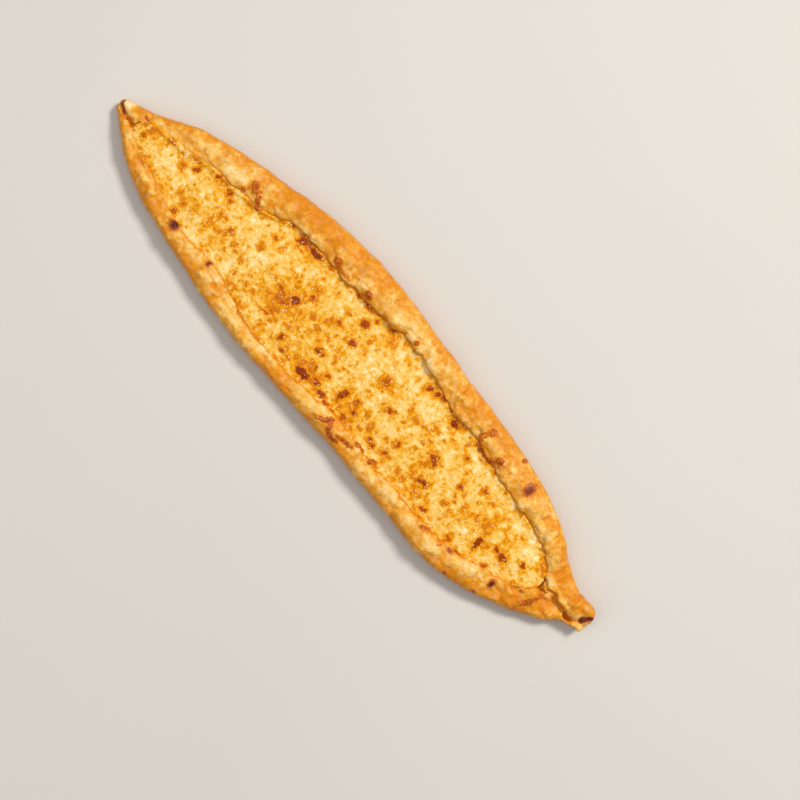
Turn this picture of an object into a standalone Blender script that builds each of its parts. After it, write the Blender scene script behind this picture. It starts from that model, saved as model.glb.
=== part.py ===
"""Cheese pide: a long boat of baked dough folded up round a melted cheese filling.

x runs along the boat from the charred tip to the curled tip, y across it from the slim rim to
the wide rim, and z up from the flat base the bread rests on. The sizes are millimetres and
become metres once, when a mesh is made.
"""

import math

import bmesh
import bpy
import numpy as np

MM = 0.001

# The whole boat
LENGTH = 460.0
TIP_ROUNDING = 6.0
TIP_SQUARENESS = 2.4
SMALLEST_TIP_SHARE = 0.3

# Plan of the bread: (x, y) of its outer edges, where it is widest
WIDE_RIM_OUTER = (
    (-225, 1.5), (-206, 9.5), (-180, 24.5), (-133, 39), (-70, 51.5), (-40, 54.5),
    (-8, 53.3), (55, 47.5), (116, 41.5), (142, 37), (164, 30.5), (187, 20),
    (200, 12), (209, 8.6), (225, 8.6),
)
SLIM_RIM_OUTER = (
    (-225, -10), (-206, -22.5), (-180, -34), (-133, -43), (-70, -51), (-40, -51.5),
    (23, -51), (86, -53), (116, -54.5), (142, -52), (161, -46.5), (182, -37),
    (200, -27.5), (209, -21), (215, -14), (225, -10.5),
)

# Plan of the pocket: (x, y) of the lips of dough over the cheese
WIDE_RIM_LIP = (
    (-214, -6.4), (-203, 2.5), (-178, 6.5), (-150, 13.5), (-133, 15), (-108, 19.5),
    (-95, 27), (-83, 29), (-57, 28), (-5, 30.5), (12, 33.5), (50, 28.5),
    (62, 24.5), (90, 24), (102, 20.3), (151, 13.5), (174, 8.5), (184, 0), (193, -6.5),
)
SLIM_RIM_LIP = (
    (-214, -8.4), (-205, -13), (-170, -20.5), (-156, -25), (-132, -29.5), (-106, -27.5),
    (-80, -33.5), (-38, -39), (-2, -37), (24, -33.5), (57, -37.5), (118, -37.5),
    (151, -30), (176, -20.5), (193, -9),
)
POCKET_START = -214.0
POCKET_END = 193.0
POCKET_CLOSING = 10.0

# Where the two rims meet past the ends of the pocket
SEAM = ((-225, -5), (-214, -7.4), (193, -7.8), (213, -9), (225, -6))
SEAM_HALF_WIDTH = 0.9
SEAM_DROP = 2.4

# Height of the crests of the rims: (x, z)
WIDE_RIM_CREST = (
    (-225, 11), (-195, 15), (-133, 17.5), (-70, 19.2), (-20, 19.6), (60, 19),
    (130, 18.4), (175, 17.5), (205, 16.5), (225, 14),
)
SLIM_RIM_CREST = (
    (-225, 11), (-195, 14.5), (-133, 16.2), (-40, 17), (40, 16.8), (116, 17.6),
    (160, 16.4), (195, 14.5), (225, 12),
)
CREST_PLACE = 0.5
CREST_FLATNESS = 0.72
WIDEST_PLACE = 0.4

# Creases where the folded dough gave way in the oven: (x, depth, half width)
WIDE_RIM_CREASES = ((-115, 2.0, 7), (-49, 1.6, 8), (25, 1.8, 8), (61, 2.4, 7), (190, 1.6, 7))
SLIM_RIM_CREASES = ((-76, 1.2, 7), (-31, 1.2, 8), (36, 1.4, 8), (88, 1.4, 8), (160, 1.2, 8))
CREASE_NARROWING = 0.45
RIM_WAVER = 0.5
RIM_WAVER_LENGTH = 37.0

# Section of the bread
BASE_THICKNESS = 5.0
FOOT_INSET = 6.0
FOOT_SHARE = 0.34
LIP_REACH = 4.0
LIP_ROUNDING = 1.6
LIP_UNDERSIDE = 12.2
LIP_THICKNESS = 1.9
WALL_HOLLOW = 0.6
WALL_FILLET = 2.4

# Section of the cheese
CLEARANCE = 0.32
CHEESE_CROWN = 1.5
CHEESE_WAVER = 0.45
CHEESE_WAVER_LENGTH = 52.0
CHEESE_START = POCKET_START + 4.0
CHEESE_END = POCKET_END - 4.0

# How finely the curves are cut
BODY_STEP = 5.6
TIP_STEP = 3.2
TIP_ZONE = 26.0
FOOT_CUTS = 3
FLANK_CUTS = 4
SLOPE_CUTS = 4
NOSE_CUTS = 2
CHEESE_TOP_CUTS = 10


def curve(table):
    """A smooth function through a table's points that never overshoots between them."""
    xs, ys = np.array(table, dtype=float).T
    steps = np.diff(xs)
    slopes = np.diff(ys) / steps
    tangents = np.concatenate(([slopes[0]], np.zeros(len(xs) - 2), [slopes[-1]]))
    for i in range(1, len(xs) - 1):
        if slopes[i - 1] * slopes[i] > 0:
            before = 2 * steps[i] + steps[i - 1]
            after = steps[i] + 2 * steps[i - 1]
            tangents[i] = (before + after) / (before / slopes[i - 1] + after / slopes[i])

    def value(x):
        x = min(max(x, xs[0]), xs[-1])
        i = min(int(np.searchsorted(xs, x, side="right")) - 1, len(steps) - 1)
        t = (x - xs[i]) / steps[i]
        rise = ys[i] * (1 + 2 * t) * (1 - t) ** 2 + ys[i + 1] * t * t * (3 - 2 * t)
        return rise + steps[i] * t * (1 - t) * (tangents[i] * (1 - t) - tangents[i + 1] * t)

    return value


wide_outer = curve(WIDE_RIM_OUTER)
slim_outer = curve(SLIM_RIM_OUTER)
wide_lip = curve(WIDE_RIM_LIP)
slim_lip = curve(SLIM_RIM_LIP)
wide_crest = curve(WIDE_RIM_CREST)
slim_crest = curve(SLIM_RIM_CREST)
seam = curve(SEAM)


def blend(a, b, share):
    return a + (b - a) * share


def ease(t):
    t = min(max(t, 0.0), 1.0)
    return t * t * (3 - 2 * t)


def openness(x):
    """0 where the rims meet in a seam, 1 where the pocket lies fully open between them."""
    from_start = ease((x - POCKET_START) / POCKET_CLOSING)
    from_end = ease((POCKET_END - x) / POCKET_CLOSING)
    return from_start * from_end


def crease_depth(x, creases):
    depth = 0.0
    for place, deepest, half_width in creases:
        depth += deepest * math.exp(-(((x - place) / half_width) ** 2))
    return depth


def tip_share(x):
    """How much of the full section is left as a tip rounds off, 1 in the body of the boat."""
    into = (abs(x) - (LENGTH / 2 - TIP_ROUNDING)) / TIP_ROUNDING
    if into <= 0:
        return 1.0
    left = max(1 - into**TIP_SQUARENESS, 0.0) ** (1 / TIP_SQUARENESS)
    return max(left, SMALLEST_TIP_SHARE)


def pocket(x):
    """Underside of the lips, top of the base and reach of the pocket under the lips at x."""
    is_open = openness(x)
    meeting = min(wide_crest(x), slim_crest(x)) - SEAM_DROP
    underside = blend(meeting - 1.0, LIP_UNDERSIDE, is_open)
    floor = blend(meeting - 1.8, BASE_THICKNESS, is_open)
    reach = blend(-0.1, LIP_REACH, is_open)
    return is_open, underside, floor, reach


def rim(x, outer, lip, crest, creases, phase):
    """One rim's section at x as (distance in from its outer edge, height) pairs, foot to floor."""
    is_open, underside, floor, reach = pocket(x)
    crease = crease_depth(x, creases)
    waver = RIM_WAVER * math.sin(2 * math.pi * x / RIM_WAVER_LENGTH + phase)
    inset = CREASE_NARROWING * crease
    width = abs(outer - lip)
    top = crest - crease + waver
    foot = min(FOOT_INSET, FOOT_SHARE * width)
    widest = WIDEST_PLACE * top
    ridge = CREST_PLACE * width
    nose = underside + blend(0.6, LIP_THICKNESS, is_open)
    rounding = blend(0.05, LIP_ROUNDING, is_open)
    quarter = math.pi / 2
    points = []
    for i in range(FOOT_CUTS):
        t = quarter * i / FOOT_CUTS
        points.append((foot - (foot - inset) * math.sin(t), widest * (1 - math.cos(t))))
    for i in range(FLANK_CUTS):
        t = quarter * i / FLANK_CUTS
        climb = math.sin(t) ** CREST_FLATNESS
        points.append((ridge - (ridge - inset) * math.cos(t), blend(widest, top, climb)))
    for i in range(SLOPE_CUTS):
        t = quarter * i / SLOPE_CUTS
        fall = math.cos(t) ** CREST_FLATNESS
        points.append((blend(ridge, width, math.sin(t)), blend(nose, top, fall)))
    for i in range(NOSE_CUTS + 1):
        t = quarter * i / NOSE_CUTS
        points.append((width - rounding * (1 - math.cos(t)), blend(nose, underside, math.sin(t))))
    points.append((width - reach, underside - blend(0.05, 0.2, is_open)))
    points.append((width - reach - WALL_HOLLOW * is_open, (underside + floor) / 2))
    points.append((width - reach + blend(0.4, WALL_FILLET, is_open), floor))
    return points


def lips_at(x):
    """y of the slim rim's lip and of the wide rim's lip, drawn together into the seam."""
    is_open = openness(x)
    middle = seam(x)
    slim = blend(middle - SEAM_HALF_WIDTH, slim_lip(x), is_open)
    wide = blend(middle + SEAM_HALF_WIDTH, wide_lip(x), is_open)
    return slim, wide


def bread_section(x):
    slim, wide = lips_at(x)
    outer_slim, outer_wide = slim_outer(x), wide_outer(x)
    slim_side = rim(x, outer_slim, slim, slim_crest(x), SLIM_RIM_CREASES, 0.0)
    wide_side = rim(x, outer_wide, wide, wide_crest(x), WIDE_RIM_CREASES, 2.0)
    right = [(outer_wide - into, z) for into, z in wide_side]
    left = [(outer_slim + into, z) for into, z in slim_side]
    floor = pocket(x)[2]
    middle = [((right[-1][0] + left[-1][0]) / 2, floor)]
    section = right + middle + left[::-1]
    share = tip_share(x)
    centre_y = (outer_slim + outer_wide) / 2
    centre_z = 0.42 * slim_crest(x)
    return [(x, blend(centre_y, y, share), blend(centre_z, z, share)) for y, z in section]


def cheese_section(x):
    """The cheese fills the pocket up to the lips, then swells a little between them."""
    is_open, underside, floor, reach = pocket(x)
    slim, wide = lips_at(x)
    low, high = floor + CLEARANCE, underside - 0.2 - CLEARANCE
    hollow = WALL_HOLLOW * is_open
    fillet = blend(0.4, WALL_FILLET, is_open)
    under_slim = slim - reach + CLEARANCE
    under_wide = wide + reach - CLEARANCE
    section = [(under_slim + fillet, low), (under_wide - fillet, low)]
    section += [(under_wide + hollow, (low + high) / 2), (under_wide, high)]
    waver = CHEESE_WAVER * math.sin(2 * math.pi * x / CHEESE_WAVER_LENGTH)
    crown = (CHEESE_CROWN + waver) * is_open
    for i in range(CHEESE_TOP_CUTS + 1):
        t = i / CHEESE_TOP_CUTS
        swell = crown * math.sin(math.pi * t) ** 0.7 if 0 < t < 1 else 0.0
        section.append((blend(wide, slim, t), high + swell))
    section += [(under_slim, high), (under_slim - hollow, (low + high) / 2)]
    return [(x, y, z) for y, z in section]


def stations(start, end):
    """Places along x to cut sections at, closer together where a tip turns."""
    half = LENGTH / 2
    places = [-half]
    while places[-1] < half:
        from_tip = half - abs(places[-1])
        if from_tip < TIP_ROUNDING:
            step = TIP_ROUNDING / 4
        elif from_tip < TIP_ZONE:
            step = TIP_STEP
        else:
            step = BODY_STEP
        places.append(places[-1] + step)
    scale = half / places[-1]
    places = [x * scale if x > 0 else x for x in places]
    inside = [x for x in places if start + 1 < x < end - 1]
    return [start] + inside + [end]


def loft(name, sections, colour, roughness):
    """A closed solid through a row of sections that all have the same number of points."""
    mesh_data = bmesh.new()
    rings = [[mesh_data.verts.new([c * MM for c in p]) for p in ring] for ring in sections]
    count = len(rings[0])
    for near, far in zip(rings, rings[1:]):
        for i in range(count):
            j = (i + 1) % count
            mesh_data.faces.new((near[i], near[j], far[j], far[i]))
    mesh_data.faces.new(rings[0][::-1])
    mesh_data.faces.new(rings[-1])
    bmesh.ops.recalc_face_normals(mesh_data, faces=mesh_data.faces)
    bmesh.ops.triangulate(mesh_data, faces=mesh_data.faces)
    for face in mesh_data.faces:
        face.smooth = True
    mesh = bpy.data.meshes.new(name)
    mesh_data.to_mesh(mesh)
    mesh_data.free()
    material = bpy.data.materials.new(name)
    material.use_nodes = True
    shader = material.node_tree.nodes["Principled BSDF"]
    shader.inputs["Base Color"].default_value = (*colour, 1.0)
    shader.inputs["Roughness"].default_value = roughness
    shader.inputs["Metallic"].default_value = 0.0
    mesh.materials.append(material)
    piece = bpy.data.objects.new(name, mesh)
    bpy.context.collection.objects.link(piece)
    return piece


def main():
    for old in list(bpy.data.objects):
        bpy.data.objects.remove(old, do_unlink=True)
    body = stations(-LENGTH / 2, LENGTH / 2)
    loft("bread", [bread_section(x) for x in body], (0.80, 0.46, 0.16), 0.5)
    filling = stations(CHEESE_START, CHEESE_END)
    loft("cheese_filling", [cheese_section(x) for x in filling], (0.90, 0.62, 0.20), 0.35)


main()
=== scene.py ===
"""Cheese pide: baked dough folded up round melted, browned cheese.

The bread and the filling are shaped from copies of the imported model's solids, which stay in
place as the frame. Burnt spills and drops of butterfat are then laid on them.
Sizes in the tables are millimetres in the frame: x along the boat, y across it, z up.
"""

import math

import bmesh
import bpy
import numpy as np
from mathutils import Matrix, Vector
from mathutils.bvhtree import BVHTree


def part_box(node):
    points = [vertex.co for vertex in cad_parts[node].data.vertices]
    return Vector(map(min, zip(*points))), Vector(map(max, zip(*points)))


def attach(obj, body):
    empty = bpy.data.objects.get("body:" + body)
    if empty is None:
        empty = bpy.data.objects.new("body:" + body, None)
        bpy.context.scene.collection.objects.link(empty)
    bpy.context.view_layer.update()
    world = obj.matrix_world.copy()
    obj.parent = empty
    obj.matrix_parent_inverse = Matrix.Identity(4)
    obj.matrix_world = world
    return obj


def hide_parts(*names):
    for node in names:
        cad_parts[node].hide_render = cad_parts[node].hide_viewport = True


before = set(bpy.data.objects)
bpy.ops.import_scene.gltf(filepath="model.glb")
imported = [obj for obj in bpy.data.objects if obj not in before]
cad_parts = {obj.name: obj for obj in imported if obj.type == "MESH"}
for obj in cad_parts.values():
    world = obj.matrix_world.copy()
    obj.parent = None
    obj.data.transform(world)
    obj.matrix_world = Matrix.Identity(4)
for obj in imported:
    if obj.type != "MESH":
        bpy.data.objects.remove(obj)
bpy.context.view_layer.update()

bl_info = {
    "name": "Cheese Pide",
    "version": (1, 0, 0),
    "blender": (4, 5, 0),
    "location": "View3D > Sidebar > Pide",
    "description": "Bakes a long cheese pide round the packed model",
    "category": "Object",
}

MM = 0.001

# Burnt blisters in the dough: x, y, half length, half width, share of char
DOUGH_BLISTERS = (
    (-144, -30.5, 4.2, 3.2, 1.0), (-110, -30.5, 1.8, 2.8, 0.85), (138, 28, 3.6, 5.0, 0.75),
    (167.5, -31, 2.4, 3.0, 1.0), (141.5, -49, 1.8, 1.6, 0.5), (163.5, -43, 1.8, 1.6, 0.45),
    (133.5, -37, 2.4, 1.6, 0.6), (122, 38, 1.6, 1.6, 0.45),
)

# Lines of char on the tips and of toasted dough in folds: both ends' x and y, half width, char
CHAR_LINES = (
    (-228.3, 0.8, -227.3, -3.0, 1.1, 0.6), (-227.3, -3.0, -221.5, -5.9, 1.2, 0.75),
    (228.0, 2.6, 224.3, -3.6, 1.5, 0.95), (-209.5, 2.2, -205.8, 1.0, 0.9, 0.6),
    (188.0, -3.9, 197.0, -6.4, 0.6, 0.2), (197.0, -6.4, 206.0, -6.6, 0.6, 0.22),
    (206.0, -6.6, 219.0, -8.4, 0.6, 0.2), (219.0, -8.4, 224.5, -4.5, 0.8, 0.25),
    (213.5, -2.0, 217.5, -6.0, 0.6, 0.25),
)

# Toasted spots in the cheese: x, y, half length, half width, how dark
CHEESE_SPOTS = (
    (-161, 4.5, 2.5, 2.5, 0.8), (-148, 12, 2, 2, 0.8), (-144.5, 15, 2.5, 2.5, 0.8),
    (-136, 9.5, 2.5, 2.5, 0.75), (-131.5, 6.5, 2, 2, 0.75), (-201, -6, 2, 2, 0.7),
    (-151, -25, 2.5, 2.5, 0.75), (-116.5, -6, 2.5, 2.5, 0.7), (-93.5, 13.5, 2, 2, 0.75),
    (-55, -4, 4.4, 3.8, 0.95), (-67.5, -5.5, 2.5, 2.5, 0.75), (-61.5, -10, 6, 5, 0.66),
    (-48.5, 5.5, 2.5, 2.5, 0.75), (-25, 7, 3, 2, 0.7), (-9.5, 5, 2.7, 2.7, 0.85),
    (-13.5, 19.5, 3, 3, 0.8), (-9.5, 27, 2, 2, 0.8), (2.5, 30.5, 2.5, 2.5, 0.85),
    (-21, -14, 2.5, 2.5, 0.8), (-16.5, -14.5, 2, 2, 0.8), (-4, -20.5, 2, 2, 0.75),
    (-13.5, -23.5, 2, 2, 0.75), (-43, -27, 2.5, 2.5, 0.75), (-37.5, -32, 2, 2, 0.75),
    (-16.5, -32.5, 5.2, 3.6, 1.0), (-6, -29.5, 2.5, 2.5, 0.8), (1, -32.5, 4, 2, 0.85),
    (11.5, -21.5, 2.7, 6, 0.88), (22.5, -32, 2.5, 2.5, 0.8), (22, -18.5, 2.5, 2.5, 0.8),
    (25, -24, 2.5, 2.5, 0.8), (40.5, -5.5, 2.5, 2.5, 0.8), (24.5, 4.5, 4.8, 4.5, 0.66),
    (46, 24, 2.5, 2.5, 0.8), (51.5, 25, 2.5, 2.5, 0.85), (57, 26, 2.5, 2.5, 0.85),
    (74, 20, 4.6, 2.7, 0.95), (81, -4, 3, 3, 0.82), (84, -6.5, 2.4, 2.6, 0.8),
    (88, -21, 4.5, 2, 0.9), (59.5, -17, 2.5, 2.5, 0.75),
    (57, -27, 2.5, 2.5, 0.75), (44, -28, 2, 2, 0.75), (49, -29.5, 2, 2, 0.8),
    (101.5, -32.5, 3, 1.5, 0.85), (106.5, -4, 2, 2, 0.75), (96, 11, 2, 2, 0.75),
    (120, 5.5, 2, 2, 0.75), (141.5, -21, 2.6, 4.6, 0.95), (159.5, -14.5, 3, 3, 0.9),
    (153, -13, 2.5, 2.5, 0.8), (172, -8, 2, 2, 0.75), (155.5, -27, 2, 2, 0.75),
    (127, -32, 2.5, 2.5, 0.75), (-169.5, -1, 2.5, 2.5, 0.6), (-157.5, -13, 2, 2, 0.6),
    (-151, -16.5, 2.5, 2.5, 0.6), (-128.5, -3.5, 2.5, 2.5, 0.6), (-96, 3, 2.5, 2.5, 0.55),
    (-98.5, -13, 2, 2, 0.6), (-50.5, 12, 2.5, 2.5, 0.6), (6, 25, 2.5, 2.5, 0.6),
    (-81.5, 25, 3.2, 2.6, 0.9), (-68.5, 26, 5.4, 2.6, 0.92), (-75.5, 25.6, 2.8, 2, 0.8),
    (-92, 27, 2.2, 1.5, 0.75), (-56, 28.5, 3.5, 1.3, 0.7), (-46, 29, 3, 1.2, 0.65),
    (-21, 29.5, 3, 1.6, 0.85), (-30, 30, 2.5, 1.5, 0.75), (-64.5, -24, 4, 1.1, 0.72),
    (-60, -21.5, 2.6, 1.0, 0.7), (8, -33.5, 3, 1.4, 0.8), (15, -34, 3, 1.3, 0.75),
    (57.5, -35.5, 3, 1.2, 0.75), (137, -33.5, 2.5, 1.4, 0.7), (66, 24.5, 3, 1.2, 0.75),
)

# Broad pools where the cheese toasted more or less, and one painted shadow: x, y, half length, half
# width, change
CHEESE_POOLS = (
    (-90, 0, 13, 10, -0.11), (6, 1, 15, 12, -0.10), (-186, -4, 14, 6, -0.08),
    (118, 15, 18, 5, -0.08), (96, 2, 16, 9, -0.05), (178, 2, 10, 6, -0.05), (-35, 14, 12, 8, -0.04),
    (-62, -17, 15, 9, 0.12), (-150, -8, 9, 13, 0.03), (-112, -12, 16, 9, 0.06),
    (-15, -24, 16, 8, 0.12), (80, -26, 20, 6, 0.07), (140, -6, 3.5, 13, 0.18),
    (156, -16, 12, 7, 0.08), (48, 22, 20, 5, 0.08), (24, -24, 12, 9, 0.08), (-66, 20, 18, 6, 0.08),
    # The pool at x 181 by the curled tip is painted shade: it darkens the cheese in the rim's shadow
    (30, 6, 9, 5, 0.05), (-145, 10, 14, 6, 0.06), (181, 1, 6, 5, 0.2), (-196, -1, 7, 5, 0.1),
    (168, 12, 14, 7, -0.06),
)

# Broad patches of the crust that browned more or less: x, y, half length, half width, change
CRUST_POOLS = (
    (-106, 26, 9, 7, 0.16), (-80, 42, 30, 9, 0.14), (-190, 14, 14, 6, 0.08), (-150, 26, 18, 9, -0.1),
    (10, 42, 26, 7, -0.08), (52, 40, 10, 6, -0.1), (100, 40, 26, 5, 0.08), (150, 30, 16, 6, -0.06),
    (192, 5, 4.5, 4.5, 0.2), (216, 2, 8, 5, 0.1), (-223, 1, 4, 3.2, -0.35), (-60, -44, 26, 5, -0.1),
    (60, -46, 16, 5, -0.06), (96, -46, 12, 4, -0.1), (126, -47, 10, 4, -0.08),
    (36, -43, 5, 3, -0.15), (-175, -30, 25, 5, 0.04), (-20, -47, 14, 4, 0.06),
    (150, -44, 14, 5, 0.1), (186, -28, 10, 5, 0.2), (198, -15, 9, 6, 0.16),
    (205, -14, 8, 5, 0.05), (-45, 45, 10, 5, -0.05), (75, 33, 8, 4, 0.1), (-22, 37, 14, 4, 0.06),
)

# Cheese that boiled over onto the rims and burnt: x, y, half length, half width, how dark
BURNT_SPILLS = (
    (-127.5, 26, 2.6, 2.4, 0.6), (-125, 24, 2.2, 2.0, 0.5), (-122.5, 25.5, 1.4, 1.2, 0.5),
    (-120, 21.5, 1.5, 2.2, 0.7), (-118.5, 19.5, 1.4, 1.2, 0.7), (-131.5, 19, 1.8, 1.5, 0.6),
    (-116.5, 17.2, 2, 1.5, 0.7), (-129.5, 22.5, 1.0, 1.0, 0.5),
    (-55.5, 33.5, 2.6, 2.4, 0.6), (-53, 31.5, 1.8, 1.5, 0.5), (-49, 31, 2.4, 1.1, 0.45),
    (-44, 31, 2.4, 1.0, 0.45), (-26, 33.5, 2.6, 2.3, 0.75), (-28.5, 31.5, 1.8, 1.3, 0.6),
    (18, 36.5, 1.5, 1.6, 0.7), (94.5, 35, 2.4, 2.2, 0.65), (92.5, 31.5, 1.6, 2.0, 0.5),
    (91.5, 28.5, 1.8, 2.0, 0.55), (92.5, 25.5, 1.6, 1.8, 0.6), (94.5, 23.2, 1.8, 1.4, 0.65),
    (98, 21.6, 2.2, 1.3, 0.8), (102, 20.8, 2.0, 1.1, 0.7), (106, 21.0, 2.2, 1.3, 0.85),
    (109.5, 23, 1.5, 1.6, 0.5), (111.5, 26, 2.4, 2.2, 0.65), (113, 23.6, 1.4, 1.2, 0.5),
    (11, -43.8, 2.2, 1.2, 0.6), (14, -42.3, 2.2, 1.3, 0.7), (17, -40.2, 2.0, 1.5, 0.8),
    (18.5, -37.8, 1.8, 1.5, 0.6), (20.5, -40.5, 1.4, 1.8, 0.75), (21.5, -43.2, 1.5, 1.7, 0.8),
    (24.5, -45.4, 2.2, 1.3, 0.85), (28, -46.0, 2.2, 1.2, 0.85), (31, -45.2, 1.6, 1.0, 0.7),
    (30.5, -42.0, 2.0, 1.0, 0.6), (34, -41.2, 2.2, 1.4, 0.75), (37.5, -40.8, 1.8, 1.3, 0.7),
    (40.5, -40.3, 1.5, 1.0, 0.6), (42.5, -36, 2.6, 1.2, 0.75), (46.5, -36.2, 1.6, 1.0, 0.6),
    (55.5, -37.8, 1.8, 1.2, 0.75), (111, -40, 2.4, 1.8, 0.5), (114, -38.3, 1.4, 1.2, 0.45),
    (125, -38.8, 1.8, 1.5, 0.25), (193.8, -10.2, 1.4, 2.2, 0.45), (194.6, -13.5, 1.4, 2.4, 0.55),
    (194, -17.0, 1.5, 2.2, 0.65), (192.8, -20.2, 1.7, 2.2, 0.7), (191.2, -23.2, 1.8, 1.8, 0.7),
    (189, -25.5, 1.8, 1.3, 0.55), (184, -19.5, 1.2, 0.8, 0.4), (178, -22.5, 1.8, 1.0, 0.45),
)

# Creases and cracks of the folded dough, darkened in colour as painted shade: x and y of both ends,
# depth, half width
CREASES = (
    (-115.5, 44.5, -114.5, 30, 0.9, 0.6), (-49, 51, -47, 36, 0.5, 0.9),
    (25, 48.5, 26, 33, 0.7, 0.8), (60.5, 47.5, 61.5, 36, 1.0, 0.8), (61.5, 36, 64, 28, 0.8, 1.0),
    (191.5, 16.5, 192.5, 8, 0.8, 0.9), (192.5, 8, 188, 2, 0.7, 0.8),
    (-75.5, -45, -74.5, -36, 0.5, 0.7), (-64, -49, -62.5, -40, 0.5, 0.8),
    (-31.5, -51.5, -30, -41, 0.5, 0.8), (83.5, -51.5, 83, -41, 0.6, 0.8),
    (91.5, -53, 92.5, -40, 0.6, 0.8), (-109.5, -32, -96, -38.5, 0.8, 0.7),
    (-96, -38.5, -60, -43.5, 0.6, 0.8), (-60, -43.5, -34, -45, 0.5, 0.8),
    (211.5, 8.5, 212, 2, 1.4, 1.1), (212, 2, 215, -5, 1.2, 1.0), (188, -3.9, 197, -6.4, 1.5, 1.0),
    (197, -6.4, 206, -6.6, 1.8, 1.0), (206, -6.6, 219, -8.4, 1.8, 1.0),
    (-209.5, 2, -206, 1, 1.2, 0.8), (-205, -15.5, -180, -21.5, 0.7, 0.8),
    (-180, -21.5, -156, -27.5, 0.6, 0.8), (-225, -6.5, -211, -8.2, 1.2, 0.9),
    (118, -40, 134, -36.8, 0.6, 0.7), (-165, 24, -140, 27, 0.4, 0.6), (-138, 30, -128, 34, 0.4, 0.6),
    (30, 44, 52, 43, 0.5, 0.9), (66, 40, 80, 33, 0.5, 0.9), (68, 30, 90, 29, 0.5, 0.8),
    (-10, 46, 18, 44, 0.4, 0.8), (8, 38, 24, 40, 0.5, 0.8), (174, -30, 180, -35, 0.7, 0.9),
    (182, -24, 190, -33, 0.7, 0.9), (198, -18, 206, -20, 0.5, 0.9),
)

# Low folded ledge inside the slim rim, and the doubled lip nearer its tip: start and end x
LEDGE = (-111, -36)
DOUBLED_LIP = (-209, -157)

# Flap lapped over the slim rim at the curled tip: x where it starts, is full, thins and ends
FLAP = (190, 197, 216, 222)

# Height above which the crests of the dough are pressed down, and the most they rise past it
CREST = (18.4, 1.6)

# Spills: how far a blob spreads, its half height, smaller blobs round it and their sizes
SPILL_SPREAD = 1.25
SPILL_HEIGHT = 0.65
SPILL_CRUMBS = 4
CRUMB_SIZES = (0.3, 0.6)
SPILL_GRAIN = 0.34 * MM

# Fat drops: square roots of the least and greatest radius, least and greatest stretch, flatness
DROP_ROOTS = (0.42, 0.76)
DROP_STRETCH = (0.8, 1.25)
DROP_FLATNESS = 0.8

# Seeds of the random draws
SPILL_SEED = 19
FAT_SEED = 7

# Spacing of the stations along the boat and of the places across it, when the rims are found
STATION_STEP = 1.0
ACROSS_STEP = 0.4

# Metres: a height well above the bread, the floor's level, and the middle of the view
OVERHEAD = 0.2
FLOOR_LEVEL = -0.2 * MM
VIEW_MIDDLE = (0.0385, 0.0038, 0.015)

# Camera sensor's width in mm, and the room's even light: colour and strength
SENSOR = 36.0
ROOM_LIGHT = ("#eef0f2", 0.25)

# Soft lights: name, metres to the right, up and above, size, watts, tint
LIGHTS = (
    ("key_softbox", 1.48, 0.76, 2.04, 0.64, 54.5, "#fff7ec"),
    ("fill_softbox", -1.35, -0.3, 1.65, 1.8, 10.5, "#fffdf8"),
    ("top_softbox", -0.15, 0.7, 2.3, 2.0, 9.5, "#ffffff"),
)


def hex_colour(text):
    """Linear RGBA of an sRGB colour written as #rrggbb."""
    values = [int(text[i : i + 2], 16) / 255 for i in (1, 3, 5)]
    linear = [v / 12.92 if v <= 0.04045 else ((v + 0.055) / 1.055) ** 2.4 for v in values]
    return (*linear, 1.0)


def plain_hex(text):
    return hex_colour(text)[:3]


class PideDough(bpy.types.PropertyGroup):
    grain: bpy.props.FloatProperty(
        name="Skin Grain", description="Spacing of the dough's surface points",
        default=1.2 * MM, min=0.6 * MM, unit="LENGTH",
    )
    lumps: bpy.props.FloatProperty(
        name="Lumps", description="Height of the lumps left by the baker's fingers",
        default=0.9 * MM, min=0.0, unit="LENGTH",
    )
    baking: bpy.props.FloatProperty(
        name="Baking", description="How far the crust is baked, from pale to dark",
        default=0.5, min=0.0, max=1.0, subtype="FACTOR",
    )
    pale: bpy.props.FloatVectorProperty(
        name="Pale Crust", description="Colour of the least baked crust",
        default=plain_hex("#fbce80"), size=3, subtype="COLOR",
    )
    golden: bpy.props.FloatVectorProperty(
        name="Golden Crust", description="Colour of well baked crust",
        default=plain_hex("#e49418"), size=3, subtype="COLOR",
    )


class PideCheese(bpy.types.PropertyGroup):
    grain: bpy.props.IntProperty(
        name="Cuts", description="Cuts across each facet of the filling's top",
        default=8, min=2, max=12,
    )
    bubbles: bpy.props.FloatProperty(
        name="Bubbles", description="Height of the larger bubbles in the cheese",
        default=0.6 * MM, min=0.0, unit="LENGTH",
    )
    beads: bpy.props.IntProperty(
        name="Fat Drops", description="How many drops of butterfat lie on the cheese",
        default=1500, min=1, max=2000,
    )
    pale: bpy.props.FloatVectorProperty(
        name="Pale Cheese", description="Colour of the cheese that has only melted",
        default=plain_hex("#fcd88c"), size=3, subtype="COLOR",
    )
    golden: bpy.props.FloatVectorProperty(
        name="Golden Cheese", description="Colour of the toasted cheese",
        default=plain_hex("#eda81e"), size=3, subtype="COLOR",
    )


class PideStage(bpy.types.PropertyGroup):
    floor_size: bpy.props.FloatProperty(
        name="Floor Size", description="Side of the plain floor", default=4.0, unit="LENGTH",
    )
    view_width: bpy.props.FloatProperty(
        name="View Width", description="Width of the floor that the camera sees",
        default=0.52, unit="LENGTH",
    )
    view_height: bpy.props.FloatProperty(
        name="View Height", description="Height of the camera above the floor",
        default=1.2, unit="LENGTH",
    )
    view_turn: bpy.props.FloatProperty(
        name="View Turn", description="Turn of the camera about the upright axis",
        default=math.radians(48.43), subtype="ANGLE",
    )


# ---------------------------------------------------------------- patterns on points


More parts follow.
